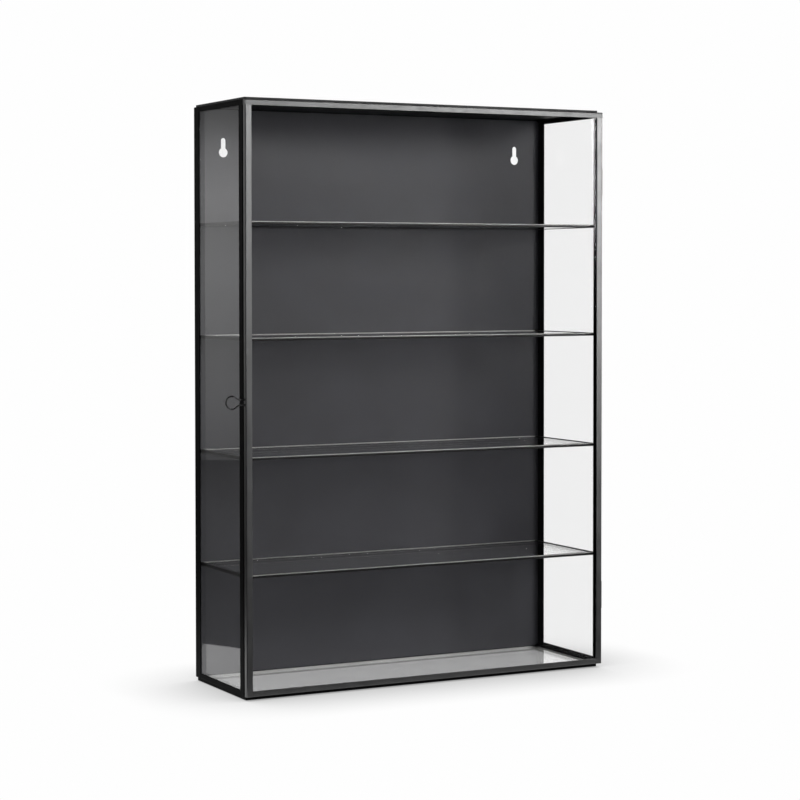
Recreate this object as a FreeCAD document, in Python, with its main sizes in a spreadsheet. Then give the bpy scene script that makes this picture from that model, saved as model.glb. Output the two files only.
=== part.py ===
import FreeCAD, Part
import math
import os
from types import SimpleNamespace

import Sketcher
from FreeCAD import Placement, Rotation, Vector

# A shallow glass wall cabinet: folded black angle round glass panes, a sheet steel back with two
# keyholes, four edged glass shelves, and one glazed door on tube hinges with a wire loop to pull.
# Millimetres. +X is to the right, +Y towards the wall, +Z up. The origin is on the surface that
# the cabinet stands on, under the middle of the carcass.

os.makedirs("parts", exist_ok=True)
doc = FreeCAD.newDocument("glass_wall_cabinet")

SIZES = (
    ("cabinet_width", 348.0, "outside of the left frame to the outside of the right frame"),
    ("cabinet_height", 500.0, "underside of the base to the top of the lid"),
    ("carcass_depth", 105.2, "front of the posts to the wall side, without the door"),
    ("base_height", 3.3, "thickness of the base frame"),
    ("base_bar_width", 3.4, "width of the base frame's bars, seen from above"),
    ("base_rim", 2.4, "width of the rim that stands round the bottom glass"),
    ("lid_thickness", 2.0, "thickness of the lid"),
    ("plate_inset", 1.8, "how far the base and the lid stand in from the side faces"),
    ("plate_corner", 1.0, "rounding of the upright corners of the base and the lid"),
    ("angle_sheet", 0.8, "thickness of the folded angle"),
    ("angle_bend", 0.7, "outer radius of the fold in the angle"),
    ("post_front_leg", 5.0, "leg of a front post behind the door"),
    ("post_rear_leg", 8.0, "leg of a rear post behind the back panel"),
    ("post_side_leg", 8.0, "leg of a front post on the side face"),
    ("post_rear_side_leg", 11.0, "leg of a rear post on the side face"),
    ("side_rail_leg", 4.4, "upright leg of a side rail"),
    ("cross_rail_leg", 3.0, "upright leg of a front or rear rail"),
    ("side_glass_thickness", 2.0, "thickness of the side panes"),
    ("bottom_glass_thickness", 2.0, "thickness of the bottom pane"),
    ("pane_play", 0.2, "gap at the free edges of panes and panel"),
    ("back_sheet", 1.0, "thickness of the back panel"),
    ("keyhole_inset", 27.0, "from the side of the cabinet to the middle of a keyhole"),
    ("keyhole_drop", 40.2, "from the top of the lid down to the middle of the keyhole heads"),
    ("keyhole_head", 8.4, "diameter of the keyhole heads"),
    ("keyhole_slot", 4.5, "width of the keyhole slots"),
    ("keyhole_rise", 10.4, "from the middle of the head to the middle of the slot's round end"),
    ("shelf_1_share", 0.203, "top of the lowest shelf, as a share of the height inside"),
    ("shelf_2_share", 0.402, "top of the second shelf, as a share of the height inside"),
    ("shelf_3_share", 0.603, "top of the third shelf, as a share of the height inside"),
    ("shelf_4_share", 0.799, "top of the highest shelf, as a share of the height inside"),
    ("shelf_glass_thickness", 2.0, "thickness of the shelf panes"),
    ("shelf_side_gap", 0.3, "from the shelf edging to the side glass"),
    ("came_wall", 0.3, "wall of the shelf edging"),
    ("came_bend", 0.45, "outer radius of the folds in the shelf edging"),
    ("came_lip", 3.0, "how far the shelf edging laps the glass"),
    ("came_play", 0.1, "height left over in the groove of the shelf edging"),
    ("door_gap", 1.0, "from the back of the door to the front of the posts"),
    ("door_thickness", 4.6, "front of the door frame to its back"),
    ("door_sheet", 0.8, "wall of the door's channel"),
    ("door_bend", 0.9, "outer radius of the folds in the door's channel"),
    ("stile_face", 5.7, "width of the door's upright channels in front"),
    ("rail_face", 4.8, "width of the door's level channels in front"),
    ("door_back_lip", 3.6, "width of the door's channels behind"),
    ("door_glass_thickness", 2.0, "thickness of the door pane"),
    ("door_glass_play", 0.4, "gap at the door pane's sides and top"),
    ("pull_height", 248.0, "middle of the loop above the floor"),
    ("pull_wire", 1.2, "diameter of the loop's wire"),
    ("pull_ring_radius", 5.3, "radius of the loop to the middle of its wire"),
    ("pull_reach", 11.6, "from the stile to the middle of the loop"),
    ("pull_neck", 4.4, "from one leg of the loop to the other"),
    ("pull_flare", 6.0, "radius of the bends from the legs into the loop"),
    ("hinge_inset", 50.0, "from the ends of the posts to the hinges"),
    ("hinge_knuckle", 7.8, "length of one knuckle"),
    ("hinge_play", 0.3, "gap between knuckles along the pin"),
    ("hinge_barrel_radius", 1.3, "outer radius of the knuckles"),
    ("hinge_leaf", 0.6, "thickness of the hinge leaves"),
    ("hinge_leaf_width", 4.0, "from the middle of the pin to the far edge of a leaf"),
    ("hinge_clearance", 0.4, "from one leaf to the other leaf's knuckles"),
    ("pin_radius", 0.7, "radius of the hinge pins"),
    ("pin_clearance", 0.05, "running clearance round the hinge pins"),
    ("pin_head_radius", 1.2, "radius of the heads of the hinge pins"),
    ("pin_head_height", 0.5, "height of the heads of the hinge pins"),
    ("pin_tail", 0.4, "how far the pins stand out below the lowest knuckle"),
    ("magnet_width", 1.8, "width of the catch magnet"),
    ("magnet_depth", 2.5, "depth of the catch magnet, front to back"),
    ("magnet_length", 20.0, "length of the catch magnet"),
)


class Size:
    """A length in millimetres, or a share, with its sheet expression beside its present value."""

    def __init__(self, text, value):
        self.text = text
        self.value = value

    def joined(self, sign, other, value):
        other_text = other.text if isinstance(other, Size) else str(other)
        return Size(f"({self.text} {sign} {other_text})", value)

    def __add__(self, other):
        return self.joined("+", other, self.value + number(other))

    def __sub__(self, other):
        return self.joined("-", other, self.value - number(other))

    def __mul__(self, other):
        return self.joined("*", other, self.value * number(other))

    def __truediv__(self, other):
        return self.joined("/", other, self.value / number(other))

    def __neg__(self):
        return Size(f"(-1 * {self.text})", -self.value)


def number(amount):
    """The present value of a Size, or a plain number as it is."""
    return amount.value if isinstance(amount, Size) else float(amount)


def filled_sheet():
    """Writes the sizes into the document's sheet and returns them as named Size values."""
    sheet = doc.addObject("Spreadsheet::Sheet", "sizes")
    for row, (alias, value, meaning) in enumerate(SIZES, start=1):
        sheet.set(f"A{row}", meaning)
        sheet.set(f"B{row}", str(value))
        sheet.setAlias(f"B{row}", alias)
    doc.recompute()
    aliases = [alias for alias, _, _ in SIZES]
    return SimpleNamespace(**{a: Size(f"sizes.{a}", float(sheet.get(a))) for a in aliases})


size = filled_sheet()

# Planes that the pieces share
right_face = size.cabinet_width / 2
left_face = -right_face
wall_face = size.carcass_depth / 2
front_face = -wall_face
post_foot = size.base_height
post_head = size.cabinet_height - size.lid_thickness
post_length = post_head - post_foot
ledge_top = post_foot + size.angle_sheet
ceiling = post_head - size.angle_sheet
front_leg_back = front_face + size.angle_sheet
back_panel_rear = wall_face - size.angle_sheet
back_panel_front = back_panel_rear - size.back_sheet
right_glass_outer = right_face - size.angle_sheet
right_glass_inner = right_glass_outer - size.side_glass_thickness
door_back = front_face - size.door_gap

parts = []

UPRIGHT = Rotation()


def turn(about, degrees):
    """A rotation about one of the main axes."""
    return Rotation(Vector(*about), degrees)


TURN_X = (1, 0, 0)
TURN_Y = (0, 1, 0)
TURN_Z = (0, 0, 1)


def place(piece, x, y, z, rotation=UPRIGHT):
    """Sets a piece's turn, and its place bound to the sheet."""
    piece.Placement = Placement(Vector(number(x), number(y), number(z)), rotation)
    for axis, amount in zip("xyz", (x, y, z)):
        if isinstance(amount, Size):
            piece.setExpression(f"Placement.Base.{axis}", amount.text)


def new_body(label):
    """An empty body that becomes one piece of the cabinet."""
    body = doc.addObject("PartDesign::Body", label)
    body.Label = label
    parts.append(body)
    return body


def new_sketch(body, role="XY_Plane", lift=None):
    """A sketch on one of the body's own origin planes, lifted along the plane's normal."""
    sketch = body.newObject("Sketcher::SketchObject", f"{body.Name}_sketch")
    plane = next(feature for feature in body.Origin.OriginFeatures if feature.Role == role)
    sketch.AttachmentSupport = (plane, [""])
    sketch.MapMode = "FlatFace"
    if lift is not None:
        sketch.setExpression("AttachmentOffset.Base.z", lift.text)
    return sketch


def bound(sketch, kind, *places, amount):
    """Adds a dimension to a sketch and binds it to the sheet."""
    index = sketch.addConstraint(Sketcher.Constraint(kind, *places, amount.value))
    name = f"{kind}{index}"
    sketch.renameConstraint(index, name)
    sketch.setExpression(f"Constraints.{name}", amount.text)


def pin_point(sketch, geometry, end, x, y):
    """Holds a point of a sketch at (x, y), on the sketch's axes where a coordinate is a plain 0."""
    for amount, kind, axis in ((x, "DistanceX", -2), (y, "DistanceY", -1)):
        if isinstance(amount, Size):
            bound(sketch, kind, -1, 1, geometry, end, amount=amount)
        else:
            sketch.addConstraint(Sketcher.Constraint("PointOnObject", geometry, end, axis))


def stepped(start, goal, distance):
    """The coordinate that lies the distance from start towards goal, or start if they are level."""
    if abs(number(goal) - number(start)) < 1e-9:
        return start
    if number(goal) > number(start):
        return distance + start
    return distance * -1 + start


def outline(sketch, corners):
    """A closed outline through corners (x, y) or, on a rounded right angle, (x, y, radius).

    The corners run anticlockwise, and every point is bound to the sheet.
    """
    arrivals, departures = [], []
    for index, (x, y, *radius) in enumerate(corners):
        before = corners[index - 1]
        after = corners[(index + 1) % len(corners)]
        if radius:
            arrivals.append((stepped(x, before[0], radius[0]), stepped(y, before[1], radius[0])))
            departures.append((stepped(x, after[0], radius[0]), stepped(y, after[1], radius[0])))
        else:
            arrivals.append((x, y))
            departures.append((x, y))
    lines = []
    for index, departure in enumerate(departures):
        arrival = arrivals[(index + 1) % len(corners)]
        ends = [Vector(number(x), number(y), 0) for x, y in (departure, arrival)]
        lines.append(sketch.addGeometry(Part.LineSegment(*ends)))
    for index, (x, y, *radius) in enumerate(corners):
        pin_point(sketch, lines[index], 1, *departures[index])
        if not radius:
            sketch.addConstraint(Sketcher.Constraint("Coincident", lines[index - 1], 2, lines[index], 1))
            continue
        pin_point(sketch, lines[index - 1], 2, *arrivals[index])
        arrive = Vector(*map(number, arrivals[index]))
        leave = Vector(*map(number, departures[index]))
        centre = arrive + leave - Vector(number(x), number(y), 0)
        start = math.atan2(arrive.y - centre.y, arrive.x - centre.x)
        circle = Part.Circle(centre, Vector(0, 0, 1), radius[0].value)
        arc = sketch.addGeometry(Part.ArcOfCircle(circle, start, start + math.pi / 2))
        sketch.addConstraint(Sketcher.Constraint("Coincident", lines[index - 1], 2, arc, 1))
        sketch.addConstraint(Sketcher.Constraint("Coincident", arc, 2, lines[index], 1))
        bound(sketch, "Radius", arc, amount=radius[0])


def circle(sketch, x, y, radius):
    """A full circle, bound to the sheet."""
    middle = Vector(number(x), number(y), 0)
    ring = sketch.addGeometry(Part.Circle(middle, Vector(0, 0, 1), radius.value))
    pin_point(sketch, ring, 3, x, y)
    bound(sketch, "Radius", ring, amount=radius)


def rectangle(sketch, x0, y0, x1, y1):
    """An upright rectangle from its lower left to its upper right corner."""
    outline(sketch, ((x0, y0), (x1, y0), (x1, y1), (x0, y1)))


def pad(body, sketch, length):
    """Raises a sketch along its normal."""
    feature = body.newObject("PartDesign::Pad", f"{body.Name}_pad")
    feature.Profile = sketch
    feature.setExpression("Length", length.text)
    return feature


def cut_upwards(body, sketch, depth):
    """Cuts a sketch out of the body along the sketch's normal, and makes sure that it cut."""
    doc.recompute()
    before = body.Shape.Volume
    feature = body.newObject("PartDesign::Pocket", f"{body.Name}_pocket")
    feature.Profile = sketch
    feature.Reversed = True
    feature.setExpression("Length", depth.text)
    doc.recompute()
    if not body.Shape.Volume < before:
        raise RuntimeError(f"a cut in {body.Label} took nothing away")


def round_edges(body, base, radius, wanted):
    """Rounds those edges of a feature that the test picks."""
    doc.recompute()
    names = [f"Edge{n}" for n, edge in enumerate(base.Shape.Edges, start=1) if wanted(edge)]
    fillet = body.newObject("PartDesign::Fillet", f"{body.Name}_fillet")
    fillet.Base = (base, names)
    fillet.setExpression("Radius", radius.text)


def is_upright(edge):
    """True for an edge along the body's own Z axis."""
    first, last = (vertex.Point for vertex in edge.Vertexes)
    return math.hypot(last.x - first.x, last.y - first.y) < 1e-6


def pane(label, low, high):
    """A rectangular pane or block between two corners."""
    box = doc.addObject("Part::Box", label)
    box.Label = label
    for name, least, most in zip(("Length", "Width", "Height"), low, high):
        box.setExpression(name, (most - least).text)
    place(box, *low)
    parts.append(box)


# The carcass frame: twelve lengths of folded angle, posts full height and rails between them
def folded_angle(label, level_leg, other_leg, length, x, y, z, rotation):
    """A length of angle with its outer corner on its own Z axis and its legs along +X and +Y."""
    body = new_body(label)
    sheet = size.angle_sheet
    profile = new_sketch(body)
    outline(profile, (
        (0, 0, size.angle_bend),
        (level_leg, 0),
        (level_leg, sheet),
        (sheet, sheet),
        (sheet, other_leg),
        (0, other_leg),
    ))
    pad(body, profile, length)
    place(body, x, y, z, rotation)


def make_posts():
    """The four uprights, each with one leg on the side face."""
    front, front_side = size.post_front_leg, size.post_side_leg
    rear, rear_side = size.post_rear_leg, size.post_rear_side_leg
    corners = (
        ("front_left_post", front, front_side, left_face, front_face, 0),
        ("front_right_post", front_side, front, right_face, front_face, 90),
        ("rear_right_post", rear, rear_side, right_face, wall_face, 180),
        ("rear_left_post", rear_side, rear, left_face, wall_face, 270),
    )
    for label, leg_x, leg_y, x, y, degrees in corners:
        folded_angle(label, leg_x, leg_y, post_length, x, y, post_foot, turn(TURN_Z, degrees))


def make_rails():
    """The level angles, with ledges towards the inside that end just short of the bottom glass."""
    side_length = size.carcass_depth - size.post_side_leg - size.post_rear_side_leg
    front_length = size.cabinet_width - size.post_front_leg * 2
    rear_length = size.cabinet_width - size.post_rear_leg * 2
    side_start = front_face + size.post_side_leg
    side_end = wall_face - size.post_rear_side_leg
    hang = turn(TURN_X, -90)
    stand = turn(TURN_X, 90)
    cross_ledge = size.base_rim - size.pane_play
    cross_legs = cross_ledge, size.cross_rail_leg
    side_legs = cross_ledge + size.plate_inset, size.side_rail_leg
    half_front, half_rear = front_length / 2, rear_length / 2
    rails = (
        ("left_top_rail", side_legs, side_length, left_face, side_start, post_head, 0, hang),
        ("left_bottom_rail", side_legs, side_length, left_face, side_end, post_foot, 0, stand),
        ("right_top_rail", side_legs, side_length, right_face, side_end, post_head, 180, hang),
        ("right_bottom_rail", side_legs, side_length, right_face, side_start, post_foot, 180, stand),
        ("front_top_rail", cross_legs, front_length, half_front, front_face, post_head, 90, hang),
        ("front_bottom_rail", cross_legs, front_length, -half_front, front_face, post_foot, 90, stand),
        ("rear_top_rail", cross_legs, rear_length, -half_rear, wall_face, post_head, -90, hang),
        ("rear_bottom_rail", cross_legs, rear_length, half_rear, wall_face, post_foot, -90, stand),
    )
    for label, legs, length, x, y, z, degrees, lie in rails:
        folded_angle(label, *legs, length, x, y, z, turn(TURN_Z, degrees).multiply(lie))


# The base frame with the bottom glass in its rebate, and the lid
def make_base():
    """A flat frame under the rails; the glass lies in its rebate, level with the rails' ledges."""
    body = new_body("base_frame")
    half_x, half_y = right_face - size.plate_inset, wall_face
    profile = new_sketch(body)
    rectangle(profile, -half_x, -half_y, half_x, half_y)
    round_edges(body, pad(body, profile, size.base_height), size.plate_corner, is_upright)
    window_x, window_y = half_x - size.base_bar_width, half_y - size.base_bar_width
    window = new_sketch(body)
    rectangle(window, -window_x, -window_y, window_x, window_y)
    cut_upwards(body, window, size.base_height)
    seat_z = ledge_top - size.bottom_glass_thickness
    seat_x, seat_y = half_x - size.base_rim, half_y - size.base_rim
    seat = new_sketch(body, lift=seat_z)
    rectangle(seat, -seat_x, -seat_y, seat_x, seat_y)
    cut_upwards(body, seat, size.base_height - seat_z)
    glass_x, glass_y = seat_x - size.pane_play, seat_y - size.pane_play
    pane("bottom_glass", (-glass_x, -glass_y, seat_z), (glass_x, glass_y, ledge_top))


def make_lid():
    """A flat sheet on the top rails."""
    body = new_body("lid")
    half_x = right_face - size.plate_inset
    profile = new_sketch(body)
    rectangle(profile, -half_x, front_face, half_x, wall_face)
    round_edges(body, pad(body, profile, size.lid_thickness), size.plate_corner, is_upright)
    place(body, 0, 0, post_head)


# The side panes and the back panel, inside the angles
def make_sides():
    """Two panes that stand on the bottom rails' ledges against the legs of the posts."""
    pane_head = ceiling - size.pane_play
    pane_rear = back_panel_front - size.pane_play
    pane(
        "left_glass",
        (-right_glass_outer, front_leg_back, ledge_top),
        (-right_glass_inner, pane_rear, pane_head),
    )
    pane(
        "right_glass",
        (right_glass_inner, front_leg_back, ledge_top),
        (right_glass_outer, pane_rear, pane_head),
    )


def make_back():
    """A steel sheet against the rear legs, with two keyholes to hang the cabinet by."""
    body = new_body("back_panel")
    half_x = right_glass_outer - size.pane_play
    profile = new_sketch(body)
    rectangle(profile, -half_x, ledge_top, half_x, ceiling - size.pane_play)
    pad(body, profile, size.back_sheet)
    heads, slots, slot_ends = (new_sketch(body) for _ in range(3))
    slot_half = size.keyhole_slot / 2
    head_height = size.cabinet_height - size.keyhole_drop
    slot_end = head_height + size.keyhole_rise
    for x in (left_face + size.keyhole_inset, right_face - size.keyhole_inset):
        circle(heads, x, head_height, size.keyhole_head / 2)
        rectangle(slots, x - slot_half, head_height, x + slot_half, slot_end)
        circle(slot_ends, x, slot_end, slot_half)
    for sketch in (heads, slots, slot_ends):
        cut_upwards(body, sketch, size.back_sheet)
    place(body, 0, back_panel_rear, 0, turn(TURN_X, 90))


# The shelves: a pane in a soldered edging of thin channel on each of its four sides
came_height = size.shelf_glass_thickness + size.came_wall * 2 + size.came_play
shelf_half = right_glass_inner - size.shelf_side_gap
shelf_shares = (size.shelf_1_share, size.shelf_2_share, size.shelf_3_share, size.shelf_4_share)
shelf_tops = [post_foot + (ceiling - post_foot) * share for share in shelf_shares]


def came(label, length, x, y, z, rotation):
    """A length of channel, open towards its own +X, with its height along +Y."""
    body = new_body(label)
    wall, lip, height = size.came_wall, size.came_lip, came_height
    profile = new_sketch(body)
    outline(profile, (
        (0, 0, size.came_bend),
        (lip, 0),
        (lip, wall),
        (wall, wall),
        (wall, height - wall),
        (lip, height - wall),
        (lip, height),
        (0, height, size.came_bend),
    ))
    pad(body, profile, length)
    place(body, x, y, z, rotation)


def make_shelf(name, top):
    """One shelf: its edging is soldered to the front posts and to the back panel."""
    foot = top - came_height
    across = turn((1, 1, 1), 120)
    inwards = turn(TURN_X, 90)
    about = turn(TURN_Z, 180)
    side_length = back_panel_front - front_leg_back - size.came_lip * 2
    side_front = front_leg_back + size.came_lip
    side_rear = back_panel_front - size.came_lip
    came(f"{name}_front_came", shelf_half * 2, -shelf_half, front_leg_back, foot, across)
    came(f"{name}_rear_came", shelf_half * 2, shelf_half, back_panel_front, foot, about.multiply(across))
    came(f"{name}_left_came", side_length, -shelf_half, side_rear, foot, inwards)
    came(f"{name}_right_came", side_length, shelf_half, side_front, foot, about.multiply(inwards))
    edge = size.came_wall + size.pane_play
    glass_x = shelf_half - edge
    glass_foot = foot + size.came_wall
    pane(
        f"{name}_glass",
        (-glass_x, front_leg_back + edge, glass_foot),
        (glass_x, back_panel_front - edge, glass_foot + size.shelf_glass_thickness),
    )


# The door: channel butted and soldered round a pane, with the loop soldered to its free stile
def door_channel(label, length, face, end_wall, end_lap, x, z, degrees):
    """A channel with its web along its own X axis, open towards +Y, its back at Z = 0.

    It is shut by walls end_wall thick, and its back lip is narrowed except end_lap from each end.
    """
    body = new_body(label)
    elevation = new_sketch(body)
    rectangle(elevation, 0, 0, length, face)
    block = pad(body, elevation, size.door_thickness)

    def is_fold(edge):
        return all(abs(vertex.Point.y) < 1e-6 for vertex in edge.Vertexes) and not is_upright(edge)

    round_edges(body, block, size.door_bend, is_fold)
    groove = new_sketch(body, lift=size.door_sheet)
    rectangle(groove, end_wall, size.door_sheet, length - end_wall, face)
    cut_upwards(body, groove, size.door_thickness - size.door_sheet * 2)
    narrowed = new_sketch(body)
    rectangle(narrowed, end_lap, size.door_back_lip, length - end_lap, face)
    cut_upwards(body, narrowed, size.door_sheet)
    place(body, x, door_back, z, turn(TURN_Y, degrees).multiply(turn(TURN_X, 90)))


def make_door():
    """The four channels of the door frame and the pane in their grooves.

    The top rail runs across both stiles, which stand beside the ends of the bottom rail.
    """
    stile, rail, width, wall = size.stile_face, size.rail_face, size.cabinet_width, size.door_sheet
    stile_head = post_head - rail
    stile_length = stile_head - post_foot
    door_channel("door_bottom_rail", width - stile * 2, rail, 0, 0, left_face + stile, post_foot, 0)
    door_channel("door_right_stile", stile_length, stile, 0, rail, right_face, post_foot, -90)
    door_channel("door_top_rail", width, rail, wall, stile, right_face, post_head, 180)
    door_channel("door_left_stile", stile_length, stile, 0, rail, left_face, stile_head, 90)
    glass_x = right_face - size.door_sheet - size.door_glass_play
    glass_back = door_back - (size.door_thickness - size.door_glass_thickness) / 2
    pane(
        "door_glass",
        (-glass_x, glass_back - size.door_glass_thickness, post_foot + size.door_sheet),
        (glass_x, glass_back, post_head - size.door_sheet - size.door_glass_play),
    )


def make_pull():
    """A wire bent to an omega, its two ends soldered to the outside of the free stile."""
    body = new_body("loop_pull")
    half_neck, flare = size.pull_neck / 2, size.pull_flare
    ring, reach = size.pull_ring_radius, size.pull_reach
    # the flare's circle touches the ring's circle from outside, which fixes where the legs end
    drop = half_neck.value + flare.value
    leg = reach.value - math.sqrt((ring.value + flare.value) ** 2 - drop**2)
    lean = math.atan2(drop, reach.value - leg)
    up = Vector(0, 0, 1)
    path = new_sketch(body, "XZ_Plane")
    neck = half_neck.value
    upper_bend = Part.Circle(Vector(-leg, drop, 0), up, flare.value)
    lower_bend = Part.Circle(Vector(-leg, -drop, 0), up, flare.value)
    loop = Part.Circle(Vector(-reach.value, 0, 0), up, ring.value)
    pieces = (
        Part.LineSegment(Vector(0, neck, 0), Vector(-leg, neck, 0)),
        Part.ArcOfCircle(upper_bend, math.pi + lean, 1.5 * math.pi),
        Part.ArcOfCircle(loop, lean, 2 * math.pi - lean),
        Part.ArcOfCircle(lower_bend, 0.5 * math.pi, math.pi - lean),
        Part.LineSegment(Vector(-leg, -neck, 0), Vector(0, -neck, 0)),
    )
    upper_leg, upper_arc, ring_arc, lower_arc, lower_leg = (path.addGeometry(p) for p in pieces)
    for line in (upper_leg, lower_leg):
        path.addConstraint(Sketcher.Constraint("Horizontal", line))
    for first, first_end, second, second_end in (
        (upper_leg, 2, upper_arc, 2),
        (upper_arc, 1, ring_arc, 1),
        (ring_arc, 2, lower_arc, 2),
        (lower_arc, 1, lower_leg, 1),
    ):
        path.addConstraint(Sketcher.Constraint("Tangent", first, first_end, second, second_end))
    path.addConstraint(Sketcher.Constraint("Equal", upper_arc, lower_arc))
    pin_point(path, upper_leg, 1, 0, half_neck)
    pin_point(path, lower_leg, 2, 0, -half_neck)
    pin_point(path, ring_arc, 3, -reach, 0)
    bound(path, "Radius", ring_arc, amount=ring)
    bound(path, "Radius", upper_arc, amount=flare)
    section = new_sketch(body, "YZ_Plane")
    circle(section, 0, half_neck, size.pull_wire / 2)
    pipe = body.newObject("PartDesign::AdditivePipe", "loop_pull_pipe")
    pipe.Profile = section
    pipe.Spine = (path, [f"Edge{n}" for n in range(1, len(pieces) + 1)])
    place(body, left_face, door_back - size.door_thickness / 2, size.pull_height)


# The two tube hinges on the right side, astride the gap between the door and the post
hinge_length = size.hinge_knuckle * 3 + size.hinge_play * 2
hinge_x = right_face + size.hinge_barrel_radius
hinge_y = front_face - size.door_gap / 2
knuckle_step = size.hinge_knuckle + size.hinge_play
pin_bore = size.pin_radius + size.pin_clearance


def rolled_knuckle(body, lift):
    """A leaf rolled to a tube: along +X from the tube, the tube's middle on +Y, rising along +Z."""
    leaf, barrel, width = size.hinge_leaf, size.hinge_barrel_radius, size.hinge_leaf_width
    profile = new_sketch(body, lift=lift)
    up = Vector(0, 0, 1)
    middle = Vector(0, barrel.value, 0)
    join = math.sqrt(barrel.value**2 - (barrel.value - leaf.value) ** 2)
    start = math.atan2(leaf.value - barrel.value, join)
    roll = Part.ArcOfCircle(Part.Circle(middle, up, barrel.value), start, 1.5 * math.pi)
    inner = profile.addGeometry(Part.LineSegment(Vector(), Vector(width.value, 0, 0)))
    edge = Part.LineSegment(Vector(width.value, 0, 0), Vector(width.value, leaf.value, 0))
    edge = profile.addGeometry(edge)
    outer = Part.LineSegment(Vector(width.value, leaf.value, 0), Vector(join, leaf.value, 0))
    outer = profile.addGeometry(outer)
    roll = profile.addGeometry(roll)
    for first, second in ((inner, edge), (edge, outer), (outer, roll), (roll, inner)):
        profile.addConstraint(Sketcher.Constraint("Coincident", first, 2, second, 1))
    pin_point(profile, inner, 1, 0, 0)
    pin_point(profile, edge, 1, width, 0)
    pin_point(profile, outer, 1, width, leaf)
    profile.addConstraint(Sketcher.Constraint("Horizontal", outer))
    pin_point(profile, roll, 3, 0, barrel)
    circle(profile, 0, barrel, pin_bore)
    pad(body, profile, size.hinge_knuckle)


def hinge_leaf(label, knuckle_places, z, rotation):
    """A flat leaf over the whole hinge with knuckles at some of its three places."""
    body = new_body(label)
    plate = new_sketch(body)
    plate_start = size.hinge_barrel_radius + size.hinge_clearance
    rectangle(plate, plate_start, 0, size.hinge_leaf_width, size.hinge_leaf)
    pad(body, plate, hinge_length)
    for knuckle in knuckle_places:
        rolled_knuckle(body, knuckle_step * knuckle)
    place(body, right_face, hinge_y, z, rotation)


def make_hinge(name, foot):
    """Post leaf with the outer knuckles, door leaf with the middle one, and a headed pin."""
    post_side = turn((1, 1, 0), 180)
    door_side = turn(TURN_Z, -90)
    hinge_leaf(f"{name}_hinge_post_leaf", (0, 2), foot + hinge_length, post_side)
    hinge_leaf(f"{name}_hinge_door_leaf", (1,), foot, door_side)
    pin = new_body(f"{name}_hinge_pin")
    shank_length = hinge_length + size.pin_tail
    shank = new_sketch(pin)
    circle(shank, 0, 0, size.pin_radius)
    pad(pin, shank, shank_length)
    head = new_sketch(pin, lift=shank_length)
    circle(head, 0, 0, size.pin_head_radius)
    pad(pin, head, size.pin_head_height)
    place(pin, hinge_x, hinge_y, foot - size.pin_tail)


def make_catch():
    """A bar magnet behind the left front post, midway between the second and third shelves."""
    left = -right_glass_inner + size.pane_play
    space_foot, space_head = shelf_tops[1], shelf_tops[2] - came_height
    foot = (space_foot + space_head - size.magnet_length) / 2
    pane(
        "catch_magnet",
        (left, front_leg_back, foot),
        (left + size.magnet_width, front_leg_back + size.magnet_depth, foot + size.magnet_length),
    )


def checked(piece):
    """Stops if a piece has no sound solid."""
    shape = piece.Shape
    if shape.isNull() or not shape.isValid() or len(shape.Solids) != 1:
        raise RuntimeError(f"{piece.Label} has no sound solid")
    return shape


make_posts()
make_rails()
make_base()
make_lid()
make_sides()
make_back()
for count, top in enumerate(shelf_tops, start=1):
    make_shelf(f"shelf_{count}", top)
make_door()
make_pull()
make_hinge("lower", post_foot + size.hinge_inset)
make_hinge("upper", post_head - size.hinge_inset - hinge_length)
make_catch()

doc.recompute()
failed = [o.Label for o in doc.Objects if {"Invalid", "Error"} & set(o.State)]
if failed:
    raise RuntimeError(f"these failed: {failed}")
shapes = {piece.Label: checked(piece) for piece in parts}
for label, shape in shapes.items():
    shape.exportStep(f"parts/{label}.step")
print(f"{len(shapes)} pieces")
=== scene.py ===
import math

import bpy
import numpy as np
from mathutils import Matrix, Vector


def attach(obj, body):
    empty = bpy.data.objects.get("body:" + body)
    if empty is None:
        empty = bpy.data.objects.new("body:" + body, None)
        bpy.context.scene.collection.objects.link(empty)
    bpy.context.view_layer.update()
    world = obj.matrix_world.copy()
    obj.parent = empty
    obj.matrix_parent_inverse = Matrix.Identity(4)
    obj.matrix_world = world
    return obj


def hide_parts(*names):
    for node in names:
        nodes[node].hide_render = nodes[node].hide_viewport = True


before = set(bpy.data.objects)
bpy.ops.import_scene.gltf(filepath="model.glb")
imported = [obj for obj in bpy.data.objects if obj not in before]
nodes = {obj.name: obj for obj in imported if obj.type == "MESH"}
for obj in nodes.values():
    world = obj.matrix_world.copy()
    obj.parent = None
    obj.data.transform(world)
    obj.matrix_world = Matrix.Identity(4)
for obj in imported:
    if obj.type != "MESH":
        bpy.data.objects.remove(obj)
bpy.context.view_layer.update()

# The carcass frame: twelve lengths of thin steel angle, folded, cut to length and soldered at
# the corners, then lacquered black. The fold is rounded and the cut edges are eased by hand.


def linear(hex_colour):
    """An sRGB hex colour as linear RGBA: c / 12.92 near black, else ((c + 0.055) / 1.055) ^ 2.4."""
    channels = np.array([int(hex_colour[i:i + 2], 16) for i in (1, 3, 5)]) / 255
    bright = ((channels + 0.055) / 1.055) ** 2.4
    return (*np.where(channels <= 0.04045, channels / 12.92, bright), 1.0)


def add_node(tree, kind, inputs=None, **settings):
    """Adds one node: settings are its properties, inputs are values or sockets to link from."""
    node = tree.nodes.new(kind)
    for name, value in settings.items():
        setattr(node, name, value)
    for socket, value in (inputs or {}).items():
        if isinstance(value, bpy.types.NodeSocket):
            tree.links.new(value, node.inputs[socket])
        else:
            node.inputs[socket].default_value = value
    return node


def new_material(name):
    """An empty node material and its tree, with the output node in place."""
    material = bpy.data.materials.new(name)
    material.use_nodes = True
    material.node_tree.nodes.clear()
    return material, material.node_tree, add_node(material.node_tree, "ShaderNodeOutputMaterial")


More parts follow.
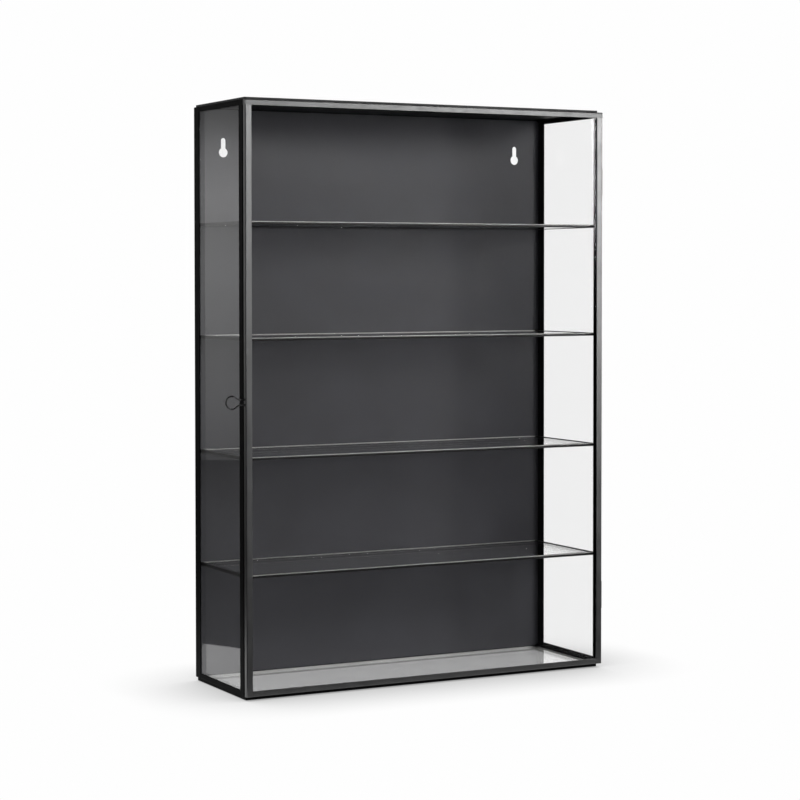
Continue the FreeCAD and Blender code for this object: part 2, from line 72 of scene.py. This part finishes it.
def blackened_steel(
    name, light_hex, dark_hex, roughness, ior, specular, cloud_mm, grain_mm, grain_depth_mm,
):
    """Blackened or lacquered steel: colour and gloss drift in clouds, over a fine grain of the skin."""
    material, tree, output = new_material(name)
    place = add_node(tree, "ShaderNodeTexCoord").outputs["Object"]
    clouds = add_node(tree, "ShaderNodeTexNoise", {
        "Vector": place, "Scale": 1000 / cloud_mm, "Detail": 3.0, "Roughness": 0.55,
    })
    colour = add_node(tree, "ShaderNodeValToRGB", {"Fac": clouds.outputs["Fac"]})
    colour.color_ramp.elements[0].position = 0.3
    colour.color_ramp.elements[0].color = linear(dark_hex)
    colour.color_ramp.elements[1].position = 0.7
    colour.color_ramp.elements[1].color = linear(light_hex)
    gloss = add_node(tree, "ShaderNodeMapRange", {
        "Value": clouds.outputs["Fac"], "From Min": 0.3, "From Max": 0.7,
        "To Min": roughness - 0.04, "To Max": roughness + 0.04,
    })
    peel = add_node(tree, "ShaderNodeTexNoise", {
        "Vector": place, "Scale": 1000 / grain_mm, "Detail": 2.0, "Roughness": 0.5,
    })
    bump = add_node(tree, "ShaderNodeBump", {
        "Height": peel.outputs["Fac"], "Strength": 1.0, "Distance": grain_depth_mm / 1000,
    })
    shader = add_node(tree, "ShaderNodeBsdfPrincipled", {
        "Base Color": colour.outputs["Color"], "Roughness": gloss.outputs["Result"],
        "IOR": ior, "Specular IOR Level": specular, "Normal": bump.outputs["Normal"],
    })
    tree.links.new(shader.outputs["BSDF"], output.inputs["Surface"])
    return material


# black lacquer, brushed thin and dried matt: swallows nearly all light, faintly uneven
frame_lacquer = blackened_steel(
    "black_matt_lacquer", "#0d0d0e", "#09090a", 0.55, 1.45, 0.04, 14.0, 0.9, 0.004,
)


def dress(names, material, ease_mm):
    """Gives CAD nodes their finish, and eases their edges by ease_mm with a small round bevel."""
    for name in names:
        node = nodes[name]
        node.data.materials.clear()
        node.data.materials.append(material)
        weld = node.modifiers.new("joined", "WELD")
        weld.merge_threshold = 1e-6
        bevel = node.modifiers.new("eased", "BEVEL")
        bevel.width = ease_mm / 1000
        bevel.segments = 2
        bevel.limit_method = "ANGLE"
        bevel.angle_limit = math.radians(40)


posts = [f"{end}_{side}_post" for end in ("front", "rear") for side in ("left", "right")]
rails = [
    f"{side}_{level}_rail" for side in ("left", "right", "front", "rear") for level in ("top", "bottom")
]
dress(posts + rails, frame_lacquer, 0.15)

# The base frame and the lid: flat steel with rounded corners, lacquered black and soldered to
# the rails. The edge of the base under the glass is tinned and left bright.
dress(["base_frame"], frame_lacquer, 0.25)
# satin lacquer, sprayed on the flat sheet: black with a faint even sheen from above
lid_lacquer = blackened_steel(
    "black_satin_lacquer", "#202022", "#19191b", 0.5, 1.45, 0.3, 35.0, 0.9, 0.004,
)
dress(["lid"], lid_lacquer, 0.25)
tinned_half_x = 0.1700
tinned_half_y = 0.0504

# lacquered steel with a wiped tin edge inside: black outside, a soft bright mirror under the glass
base_finish = frame_lacquer.copy()
base_finish.name = "black_lacquer_with_tinned_edge"
base_tree = base_finish.node_tree
base_place = add_node(base_tree, "ShaderNodeTexCoord").outputs["Object"]
base_axes = add_node(base_tree, "ShaderNodeSeparateXYZ", {"Vector": base_place})
within = []
for axis, half in (("X", tinned_half_x), ("Y", tinned_half_y)):
    away = add_node(base_tree, "ShaderNodeMath", {0: base_axes.outputs[axis]}, operation="ABSOLUTE")
    within.append(add_node(base_tree, "ShaderNodeMath", {
        0: away.outputs["Value"], 1: half,
    }, operation="LESS_THAN"))
tinned = add_node(base_tree, "ShaderNodeMath", {
    0: within[0].outputs["Value"], 1: within[1].outputs["Value"],
}, operation="MULTIPLY")
wiping = add_node(base_tree, "ShaderNodeTexNoise", {"Vector": base_place, "Scale": 160.0})
tin_gloss = add_node(base_tree, "ShaderNodeMapRange", {
    "Value": wiping.outputs["Fac"], "To Min": 0.45, "To Max": 0.6,
})
tin = add_node(base_tree, "ShaderNodeBsdfPrincipled", {
    "Base Color": linear("#d2d2d0"), "Metallic": 1.0, "Roughness": tin_gloss.outputs["Result"],
})
base_output = next(node for node in base_tree.nodes if node.type == "OUTPUT_MATERIAL")
lacquered = base_output.inputs["Surface"].links[0].from_socket
base_mix = add_node(base_tree, "ShaderNodeMixShader", {
    "Fac": tinned.outputs["Value"], 1: lacquered, 2: tin.outputs["BSDF"],
})
base_tree.links.new(base_mix.outputs["Shader"], base_output.inputs["Surface"])
nodes["base_frame"].data.materials[0] = base_finish

# The back panel: one sheet of steel with two punched keyholes, sprayed a shade greyer and flatter
# than the frame, and held by the rear posts' legs.
# satin lacquer, sprayed: an even dark grey with slow drifts from the spray gun's passes
back_lacquer = blackened_steel(
    "grey_black_satin_lacquer", "#3b3b40", "#353539", 0.48, 1.45, 0.4, 60.0, 0.7, 0.005,
)
dress(["back_panel"], back_lacquer, 0.1)

# The side panes and the bottom pane: two millimetre float glass, cut, arrissed, and dropped
# behind the angles' legs and into the base frame's rebate.


def float_glass(name, tint_hex, reflection):
    """Clear float glass as thin faces, which mirror the more, the flatter the view.

    The mirrored share is r + (1 - r) * (1 - cos of the angle to the normal) ^ 5, with r head-on.
    """
    material, tree, output = new_material(name)
    facing = add_node(tree, "ShaderNodeLayerWeight", {"Blend": 0.5}).outputs["Facing"]
    steep = add_node(tree, "ShaderNodeMath", {0: facing, 1: 5.0}, operation="POWER")
    share = add_node(tree, "ShaderNodeMath", {
        0: steep.outputs["Value"], 1: 1 - reflection, 2: reflection,
    }, operation="MULTIPLY_ADD")
    through = add_node(tree, "ShaderNodeBsdfTransparent", {"Color": linear(tint_hex)})
    mirror = add_node(tree, "ShaderNodeBsdfGlossy", {"Color": (1, 1, 1, 1), "Roughness": 0.015})
    mixed = add_node(tree, "ShaderNodeMixShader", {
        "Fac": share.outputs["Value"], 1: through.outputs["BSDF"], 2: mirror.outputs["BSDF"],
    })
    tree.links.new(mixed.outputs["Shader"], output.inputs["Surface"])
    return material


# clear float glass: colourless on its faces, with a thin cold mirror that grows at a flat view
clear_glass = float_glass("clear_float_glass", "#fefefe", 0.016)
dress(["left_glass", "right_glass", "bottom_glass"], clear_glass, 0.2)

# The four shelves: panes of the same glass, each edged on all sides with one thin folded channel,
# mitred and soldered at the corners, and soldered to the posts and to the back.
came_wall = 0.3
came_bend = 0.45
bend_points = 9
# the flat strip beside each fold; below the front came's head fold it carries the painted highlight
painted_highlight_band = 0.22

# blackened came: dull black on its flat faces
came_black = blackened_steel(
    "blackened_came", "#0f0f10", "#0a0a0b", 0.45, 1.5, 0.3, 90.0, 0.6, 0.0002,
)


def plain_surface(name, colour_hex, metallic, drift_mm, low_roughness, high_roughness):
    """A surface of one colour whose roughness drifts between two values over drift_mm."""
    material, tree, output = new_material(name)
    place = add_node(tree, "ShaderNodeTexCoord").outputs["Object"]
    drift = add_node(tree, "ShaderNodeTexNoise", {"Vector": place, "Scale": 1000 / drift_mm})
    gloss = add_node(tree, "ShaderNodeMapRange", {
        "Value": drift.outputs["Fac"], "To Min": low_roughness, "To Max": high_roughness,
    })
    shader = add_node(tree, "ShaderNodeBsdfPrincipled", {
        "Base Color": linear(colour_hex), "Metallic": metallic, "Roughness": gloss.outputs["Result"],
    })
    tree.links.new(shader.outputs["BSDF"], output.inputs["Surface"])
    return material


# painted highlight: a bright grey metal laid along the came's top fold and the rear lip's cut edge, a
# thin grey line with a soft gleam that stands in for the light those edges catch
came_painted_highlight = plain_surface("painted_highlight_steel_edge", "#a4a4a2", 1.0, 25.0, 0.44, 0.54)


def grid_faces(rows, columns, wrap):
    """The quads of a grid of points, rows by columns, closed across the columns where wrap is true."""
    strips = columns if wrap else columns - 1
    row, column = np.meshgrid(np.arange(rows - 1), np.arange(strips), indexing="ij")
    after = (column + 1) % columns
    this_row, next_row = row * columns, (row + 1) * columns
    corners = (this_row + column, this_row + after, next_row + after, next_row + column)
    return np.stack(corners, axis=-1).reshape(-1, 4)


def new_piece(name, points_mm, faces, material, body):
    """A smooth-shaded mesh from points in millimetres, which rides on a CAD body."""
    mesh = bpy.data.meshes.new(name)
    mesh.from_pydata((np.asarray(points_mm) / 1000).tolist(), [], [list(face) for face in faces])
    mesh.polygons.foreach_set("use_smooth", np.ones(len(mesh.polygons), dtype=bool))
    mesh.materials.append(material)
    piece = bpy.data.objects.new(name, mesh)
    bpy.context.scene.collection.objects.link(piece)
    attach(piece, body)
    return piece


def extent(name):
    """The lowest and the highest corner of a CAD node, in millimetres."""
    flat = np.empty(len(nodes[name].data.vertices) * 3)
    nodes[name].data.vertices.foreach_get("co", flat)
    points = flat.reshape(-1, 3) * 1000
    return points.min(axis=0), points.max(axis=0)


def came_profile(lip, height):
    """The channel's outline as (depth, height) points, with a quarter circle on each outer fold.

    Each fold is bend * (1 - sin, 1 - cos) from its corner; a point one band's width away from each end
    of a fold keeps the faces beside it flat, and the band below the head fold carries the painted
    highlight.
    """
    turn = np.linspace(0, math.pi / 2, bend_points)
    fold = np.column_stack([came_bend * (1 - np.sin(turn)), came_bend * (1 - np.cos(turn))])
    flat_end = came_bend + painted_highlight_band
    foot = np.vstack([(lip, 0.0), (flat_end, 0.0), fold, (0.0, flat_end)])
    head = foot[::-1] * (1, -1) + (0.0, height)
    ceiling = height - came_wall
    inside = [(lip, ceiling), (came_wall, ceiling), (came_wall, came_wall), (lip, came_wall)]
    return np.vstack([foot, head, inside])


def came_frame(low, high, lip):
    """The channel's outline set in each corner, as deep along both edges: a mitred frame."""
    depth, rise = came_profile(lip, high[2] - low[2]).T
    west, east = low[0] + depth, high[0] - depth
    south, north = low[1] + depth, high[1] - depth
    corners = ((west, south), (east, south), (east, north), (west, north))
    return np.stack([np.column_stack([x, y, low[2] + rise]) for x, y in corners])


front_run = 0
rear_run = 2
sharp_angle = math.radians(30)
shelves = [f"shelf_{count}" for count in (1, 2, 3, 4)]
dress([f"{shelf}_glass" for shelf in shelves], clear_glass, 0.2)
for shelf in shelves:
    cames = [f"{shelf}_{side}_came" for side in ("front", "rear", "left", "right")]
    front_low, front_high = extent(cames[0])
    _, rear_high = extent(cames[1])
    came_points = came_frame(front_low, rear_high, front_high[1] - front_low[1])
    corner_count, outline_count, _ = came_points.shape
    came_faces = grid_faces(corner_count + 1, outline_count, True) % (corner_count * outline_count)
    edging = new_piece(
        f"{shelf}_edging", came_points.reshape(-1, 3), came_faces[:, ::-1].tolist(), came_black,
        "carcass",
    )
    edging.data.set_sharp_from_angle(angle=sharp_angle)
    edging.data.materials.append(came_painted_highlight)
    # the foot fold and its three flat points come first, then the head fold, then the lip's cut edge;
    # the painted highlight goes on the front came's band and head fold and on the rear came's lip edge
    head_start = bend_points + 3
    painted_highlight_faces = np.zeros((corner_count, outline_count), dtype=np.int32)
    painted_highlight_faces[front_run, head_start:head_start + bend_points] = 1
    painted_highlight_faces[rear_run, 2 * head_start - 1] = 1
    edging.data.polygons.foreach_set("material_index", painted_highlight_faces.ravel())
    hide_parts(*cames)

# The hinges: steel leaves rolled round plain pins, lacquered with the frame; the pins are bare.
leaves = [f"{level}_hinge_{side}_leaf" for level in ("lower", "upper") for side in ("post", "door")]
dress(leaves, frame_lacquer, 0.08)
# drawn bright steel: grey metal with a fine, uneven gleam
pin_steel = plain_surface("drawn_bright_steel", "#9a9a9c", 1.0, 0.6667, 0.22, 0.4)
dress(["lower_hinge_pin", "upper_hinge_pin"], pin_steel, 0.08)

# The catch: a sintered ferrite bar magnet, glued behind the left front post.
# sintered ferrite: a dull, gritty charcoal
ferrite = plain_surface("sintered_ferrite", "#2b2b2d", 0.0, 0.4, 0.6, 0.85)
dress(["catch_magnet"], ferrite, 0.15)

# The door: channel folded from steel strip round one pane of glass. The top rail runs across both
# stiles, the bottom rail stands between them, and the butt joints are soldered and filed flush.

# blackened steel, rubbed and waxed: an oxide skin with a high index, so a broad grey sheen on black
door_black = blackened_steel(
    "rubbed_black_oxide_steel", "#1a1a1b", "#131314", 0.37, 2.05, 0.5, 9.0, 0.7, 0.003,
)
dress(["door_left_stile", "door_right_stile"], door_black, 0.15)
# the rails are rubbed across their length, so their sheen is wider and duller
rail_black = blackened_steel(
    "cross_rubbed_black_oxide_steel", "#1a1a1b", "#131314", 0.42, 1.86, 0.5, 9.0, 0.7, 0.003,
)
dress(["door_top_rail", "door_bottom_rail"], rail_black, 0.15)
dress(["door_glass"], clear_glass, 0.2)

# The pull: one length of steel wire, bent to an open loop, its two legs soldered to the free
# stile. The solder runs up each leg in a small cone.
pull_wire_radius = 0.6
pull_ring_radius = 5.3
pull_reach = 11.6
pull_half_neck = 2.2
pull_flare = 6.0
pull_foot = np.array([-174.0, -55.9, 248.0])
solder_height = 0.5
solder_run = 0.7

# blackened drawn wire: smooth and dark, with small sharp glints
wire_black = blackened_steel(
    "blackened_drawn_wire", "#0c0c0d", "#080809", 0.20, 1.6, 0.5, 8.0, 0.5, 0.0004,
)


def arc(centre, radius, first, last, count):
    """Points on a circle in the plane of the loop, from one angle to the other in radians."""
    angle = np.linspace(first, last, count)
    return np.column_stack([centre[0] + radius * np.cos(angle), centre[1] + radius * np.sin(angle)])


def pull_path():
    """The loop's middle line: leg, flare, ring, flare, leg, joined where the circles touch.

    The flare's circle lies outside the ring's, so their middles are ring + flare apart, and the
    lean of the line between them gives the angle at which one curve hands over to the other.
    """
    drop = pull_half_neck + pull_flare
    leg = pull_reach - math.sqrt((pull_ring_radius + pull_flare) ** 2 - drop**2)
    lean = math.atan2(drop, pull_reach - leg)
    leg_run = np.linspace(0.0, -leg, 10)
    upper_leg = np.column_stack([leg_run, np.full(10, pull_half_neck)])
    upper_flare = arc((-leg, drop), pull_flare, 1.5 * math.pi, math.pi + lean, 14)
    ring = arc((-pull_reach, 0.0), pull_ring_radius, lean, 2 * math.pi - lean, 64)
    half = np.vstack([upper_leg, upper_flare[1:]])
    lower = half[::-1] * (1, -1)
    return np.vstack([half, ring[1:-1], lower])


def swept_tube(path, radius, sides):
    """A round tube along a path in the XZ plane: middle + radius * (cos * normal + sin * depth)."""
    along = np.gradient(path, axis=0)
    along /= np.linalg.norm(along, axis=1)[:, None]
    normal = np.column_stack([-along[:, 1], np.zeros(len(path)), along[:, 0]])
    depth = np.array([0.0, -1.0, 0.0])
    turn = np.linspace(0, 2 * math.pi, sides, endpoint=False)
    middle = np.column_stack([path[:, 0], np.zeros(len(path)), path[:, 1]])
    spread = np.cos(turn)[None, :, None] * normal[:, None, :] + np.sin(turn)[None, :, None] * depth
    return middle[:, None, :] + radius[:, None, None] * spread


loop_line = pull_path()
steps = np.linalg.norm(np.diff(loop_line, axis=0), axis=1)
run = np.concatenate([[0.0], np.cumsum(steps)])
from_end = np.minimum(run, run[-1] - run)
loop_radius = pull_wire_radius + solder_height * np.exp(-from_end / solder_run)
wire_sides = 20
loop_points = swept_tube(loop_line, loop_radius, wire_sides)
loop_faces = grid_faces(len(loop_line), wire_sides, True).tolist()
last_row = (len(loop_line) - 1) * wire_sides
loop_faces.append(list(range(wire_sides))[::-1])
loop_faces.append(list(range(last_row, last_row + wire_sides)))
loop = new_piece(
    "wire_loop", loop_points.reshape(-1, 3) + pull_foot, loop_faces, wire_black, "door",
)
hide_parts("loop_pull")

# The corner solder: a web of tin run into each inside corner between posts and rails, at the
# bottom and under the lid, which seals the gaps there. It is lacquered with the frame.
web_reach_x = 6.6
web_reach_y = {"front": 6.6, "rear": 9.6}
web_rise = 2.2
web_edge = 0.25
web_points = 9
corner_x = 173.1
corner_y = {"front": -51.7, "rear": 50.7}
web_level = {"bottom": 3.35, "top": 497.95}


def solder_web(reach_x, reach_y, count):
    """A quarter mound in a corner: height = edge + rise * (1 - r) ^ 2 over the distance r from it.

    The top and the flat underside are one grid, rim to corner above and back to the rim below.
    """
    share = np.linspace(1.0, 0.0, count)
    around = np.linspace(0, math.pi / 2, count)
    r, angle = np.meshgrid(share, around, indexing="ij")
    x, y = reach_x * r * np.cos(angle), reach_y * r * np.sin(angle)
    top = np.stack([x, y, web_edge + web_rise * (1 - r) ** 2], axis=-1)
    under = np.stack([x, y, np.zeros_like(x)], axis=-1)[::-1]
    return np.concatenate([top, under, top[:1]])


for end in ("front", "rear"):
    for level, way in (("bottom", 1), ("top", -1)):
        for side, sign in (("left", -1), ("right", 1)):
            web = solder_web(web_reach_x, web_reach_y[end], web_points)
            inward_y = 1 if end == "front" else -1
            web = web * (-sign, inward_y, way) + (sign * corner_x, corner_y[end], web_level[level])
            rows, columns, _ = web.shape
            faces = grid_faces(rows, columns, False).tolist()
            flat_side = np.arange(rows - 1) * columns
            faces.append(flat_side.tolist())
            faces.append((flat_side + columns - 1).tolist()[::-1])
            if -sign * inward_y * way < 0:
                faces = [face[::-1] for face in faces]
            solder = new_piece(
                f"{end}_{side}_{level}_solder", web.reshape(-1, 3), faces, frame_lacquer,
                "carcass",
            )
            weld = solder.modifiers.new("joined", "WELD")
            weld.merge_threshold = 1e-5

# The studio: a white floor and backdrop, one high softbox and two lower ones in front, dark cards
# that only mirrors see, and a net beside the right pane.
scene = bpy.context.scene
scene.view_settings.view_transform = "Standard"


def seen_by_eye_or_mirror(tree):
    """1 for rays from the camera, mirrored or sent through glass, and 0 for light on things."""
    path = add_node(tree, "ShaderNodeLightPath").outputs
    first = add_node(tree, "ShaderNodeMath", {
        0: path["Is Camera Ray"], 1: path["Is Glossy Ray"],
    }, operation="ADD")
    return add_node(tree, "ShaderNodeMath", {
        0: first.outputs["Value"], 1: path["Is Transmission Ray"],
    }, operation="ADD", use_clamp=True).outputs["Value"]


world = bpy.data.worlds.new("white_studio")
scene.world = world
world.use_nodes = True
world.node_tree.nodes.clear()
room = add_node(world.node_tree, "ShaderNodeBackground", {
    "Color": linear("#ffffff"), "Strength": 0.25,
})
backdrop = add_node(world.node_tree, "ShaderNodeBackground", {
    "Color": linear("#fefefe"), "Strength": 1.0,
})
both = add_node(world.node_tree, "ShaderNodeMixShader", {
    "Fac": seen_by_eye_or_mirror(world.node_tree),
    1: room.outputs["Background"], 2: backdrop.outputs["Background"],
})
world_output = add_node(world.node_tree, "ShaderNodeOutputWorld")
world.node_tree.links.new(both.outputs["Shader"], world_output.inputs["Surface"])


def card(name, corners):
    """One flat four-cornered sheet through the given corners, in metres."""
    mesh = bpy.data.meshes.new(name)
    mesh.from_pydata([tuple(corner) for corner in corners], [], [(0, 1, 2, 3)])
    sheet = bpy.data.objects.new(name, mesh)
    scene.collection.objects.link(sheet)
    return sheet


floor_z = -0.0003
floor_half = 6
floor = card("floor", (
    (-floor_half, -floor_half, floor_z), (floor_half, -floor_half, floor_z),
    (floor_half, floor_half, floor_z), (-floor_half, floor_half, floor_z),
))
floor_paper, floor_tree, floor_output = new_material("white_paper_sweep")
# painted shadow: ambient occlusion dims the floor's glow close to the cabinet, a contact shadow drawn
# into the emission
near = add_node(floor_tree, "ShaderNodeAmbientOcclusion", {"Distance": 0.09}, samples=16)
shade = add_node(floor_tree, "ShaderNodeMapRange", {
    "Value": near.outputs["AO"], "From Min": 0.0, "From Max": 1.0, "To Min": 0.25, "To Max": 1.0,
})
floor_place = add_node(floor_tree, "ShaderNodeSeparateXYZ", {
    "Vector": add_node(floor_tree, "ShaderNodeTexCoord").outputs["Object"],
})
# painted light: inside the base frame the floor glows at a fixed pale level, standing in for the light
# that falls through the bottom glass
base_window_half_x = 0.1688
base_window_half_y = 0.0492
window_blur = 0.001
painted_under_glass_light = 0.76
inside = []
for axis, half in (("X", base_window_half_x), ("Y", base_window_half_y)):
    away = add_node(floor_tree, "ShaderNodeMath", {0: floor_place.outputs[axis]}, operation="ABSOLUTE")
    inside.append(add_node(floor_tree, "ShaderNodeMapRange", {
        "Value": away.outputs["Value"], "From Min": half - window_blur, "From Max": half,
        "To Min": painted_under_glass_light, "To Max": 0.0,
    }))
painted_under_glass_pool = add_node(floor_tree, "ShaderNodeMath", {
    0: inside[0].outputs["Result"], 1: inside[1].outputs["Result"],
}, operation="MINIMUM")
# the floor's glow: the painted contact shadow, raised to the painted light inside the base frame
painted_floor_light_and_shade = add_node(floor_tree, "ShaderNodeMath", {
    0: shade.outputs["Result"], 1: painted_under_glass_pool.outputs["Value"],
}, operation="MAXIMUM")
lit = add_node(floor_tree, "ShaderNodeEmission", {
    "Color": linear("#fefefe"), "Strength": painted_floor_light_and_shade.outputs["Value"],
})
paper = add_node(floor_tree, "ShaderNodeBsdfDiffuse", {"Color": linear("#e8e8e8")})
floor_mix = add_node(floor_tree, "ShaderNodeMixShader", {
    "Fac": seen_by_eye_or_mirror(floor_tree), 1: paper.outputs["BSDF"], 2: lit.outputs["Emission"],
})
floor_tree.links.new(floor_mix.outputs["Shader"], floor_output.inputs["Surface"])
floor.data.materials.append(floor_paper)


def flag(name, corners, low_strength, high_strength):
    """A card that only mirrors see, with a glow from low_strength at its foot to high_strength."""
    sheet = card(name, corners)
    sheet.visible_camera = False
    sheet.visible_diffuse = False
    sheet.visible_transmission = False
    sheet.visible_shadow = False
    material, tree, output = new_material(name)
    height = add_node(tree, "ShaderNodeSeparateXYZ", {
        "Vector": add_node(tree, "ShaderNodeTexCoord").outputs["Object"],
    })
    heights = [corner[2] for corner in corners]
    glow = add_node(tree, "ShaderNodeMapRange", {
        "Value": height.outputs["Z"], "From Min": min(heights), "From Max": max(heights) + 1e-4,
        "To Min": low_strength, "To Max": high_strength,
    })
    shader = add_node(tree, "ShaderNodeEmission", {"Strength": glow.outputs["Result"]})
    tree.links.new(shader.outputs["Emission"], output.inputs["Surface"])
    sheet.data.materials.append(material)


def bearing(azimuth, distance):
    """The point on the floor at a bearing to the right of straight ahead, as seen from the door."""
    return distance * math.sin(math.radians(azimuth)), -distance * math.cos(math.radians(azimuth))


def wall(name, first, last, distance, foot, head, low_strength, high_strength):
    """A flat upright flag between two bearings."""
    a, b = bearing(first, distance), bearing(last, distance)
    flag(name, ((*a, foot), (*b, foot), (*b, head), (*a, head)), low_strength, high_strength)


dark = 0.015
wall_distance = 2.6
upper_distance = 2.7
wall_foot = -0.1
wall_head = 4.0
glow_top = 0.50
fade_top = 0.78
door_front = -0.07
ceiling_z = 3.2
ceiling_half = 4
flag("front_floor_flag", (
    (-2, -3, 0.0), (3, -3, 0.0), (3, door_front, 0.0), (-2, door_front, 0.0),
), 0.02, 0.02)
flag("left_floor_flag", (
    (-3, door_front, 0.0), (-0.387, door_front, 0.0), (1.03, 3, 0.0), (-3, 3, 0.0),
), 0.04, 0.04)
wall("front_left_flag", -52, 11, wall_distance, wall_foot, wall_head, dark, dark)
wall("front_right_flag", 11, 75, wall_distance, wall_foot, wall_head, dark, dark)
# the pale card whose mirror image veils the left pane: it brightens upwards, then fades
wall("left_wall_flag", 190, 235, wall_distance, wall_foot, glow_top, 0.06, 0.66)
wall("left_fade_flag", 190, 235, wall_distance, glow_top, fade_top, 0.66, 0.08)
wall("left_upper_flag", 165, 300, upper_distance, fade_top, wall_head, dark, dark)
wall("left_near_flag", 236, 310, wall_distance, wall_foot, fade_top, dark, dark)
wall("right_wall_flag", 74, 128, wall_distance, wall_foot, wall_head, dark, dark)
flag("ceiling_flag", (
    (-ceiling_half, -ceiling_half, ceiling_z), (ceiling_half, -ceiling_half, ceiling_z),
    (ceiling_half, ceiling_half, ceiling_z), (-ceiling_half, ceiling_half, ceiling_z),
), dark, dark)

# A net beside the right pane takes down the lamps' light that falls in through it.
net_x = 0.180
net_half_y = 0.052
net_foot = 0.095
net_head = 0.5
net = card("net", (
    (net_x, -net_half_y, net_foot), (net_x, net_half_y, net_foot),
    (net_x, net_half_y, net_head), (net_x, -net_half_y, net_head),
))
net.visible_camera = False
net.visible_diffuse = False
net.visible_glossy = False
net.visible_transmission = False
net_cloth, net_tree, net_output = new_material("black_net")
net_holes = add_node(net_tree, "ShaderNodeBsdfTransparent", {"Color": linear("#b0b0b0")})
net_tree.links.new(net_holes.outputs["BSDF"], net_output.inputs["Surface"])
net.data.materials.append(net_cloth)


lamp_distance = 1.5
lamp_aim = Vector((0.0, 0.0, 0.27))


def softbox(name, azimuth, height, width, tall, watts):
    """A rectangular lamp at a bearing and a height, aimed near the middle of the cabinet."""
    light = bpy.data.lights.new(name, "AREA")
    light.shape = "RECTANGLE"
    light.size = width
    light.size_y = tall
    light.energy = watts
    lamp = bpy.data.objects.new(name, light)
    scene.collection.objects.link(lamp)
    stand = Vector((*bearing(azimuth, lamp_distance), height))
    aim = lamp_aim - stand
    lamp.matrix_world = Matrix.Translation(stand) @ aim.to_track_quat("-Z", "Y").to_matrix().to_4x4()


softbox("high_softbox", 28, 0.76, 0.44, 0.30, 9.6)
softbox("right_softbox", 41, 0.44, 0.22, 0.30, 3.6)
softbox("left_softbox", -3, 0.50, 0.50, 0.25, 3.0)

# The camera stands to the left of the middle and looks almost level.
camera_data = bpy.data.cameras.new("camera")
camera_data.sensor_width = 36.0
camera_data.lens = 99.30
camera_data.shift_y = -0.075
camera_data.clip_start = 0.05
camera = bpy.data.objects.new("camera", camera_data)
scene.collection.objects.link(camera)
scene.camera = camera
turn_right, tilt_down, roll = math.radians(27.603), math.radians(1.692), math.radians(-0.047)
look = (
    Matrix.Rotation(-turn_right, 4, "Z")
    @ Matrix.Rotation(math.pi / 2 - tilt_down, 4, "X")
    @ Matrix.Rotation(roll, 4, "Z")
)
camera.matrix_world = Matrix.Translation((-0.90325, -1.7272, 0.35319)) @ look
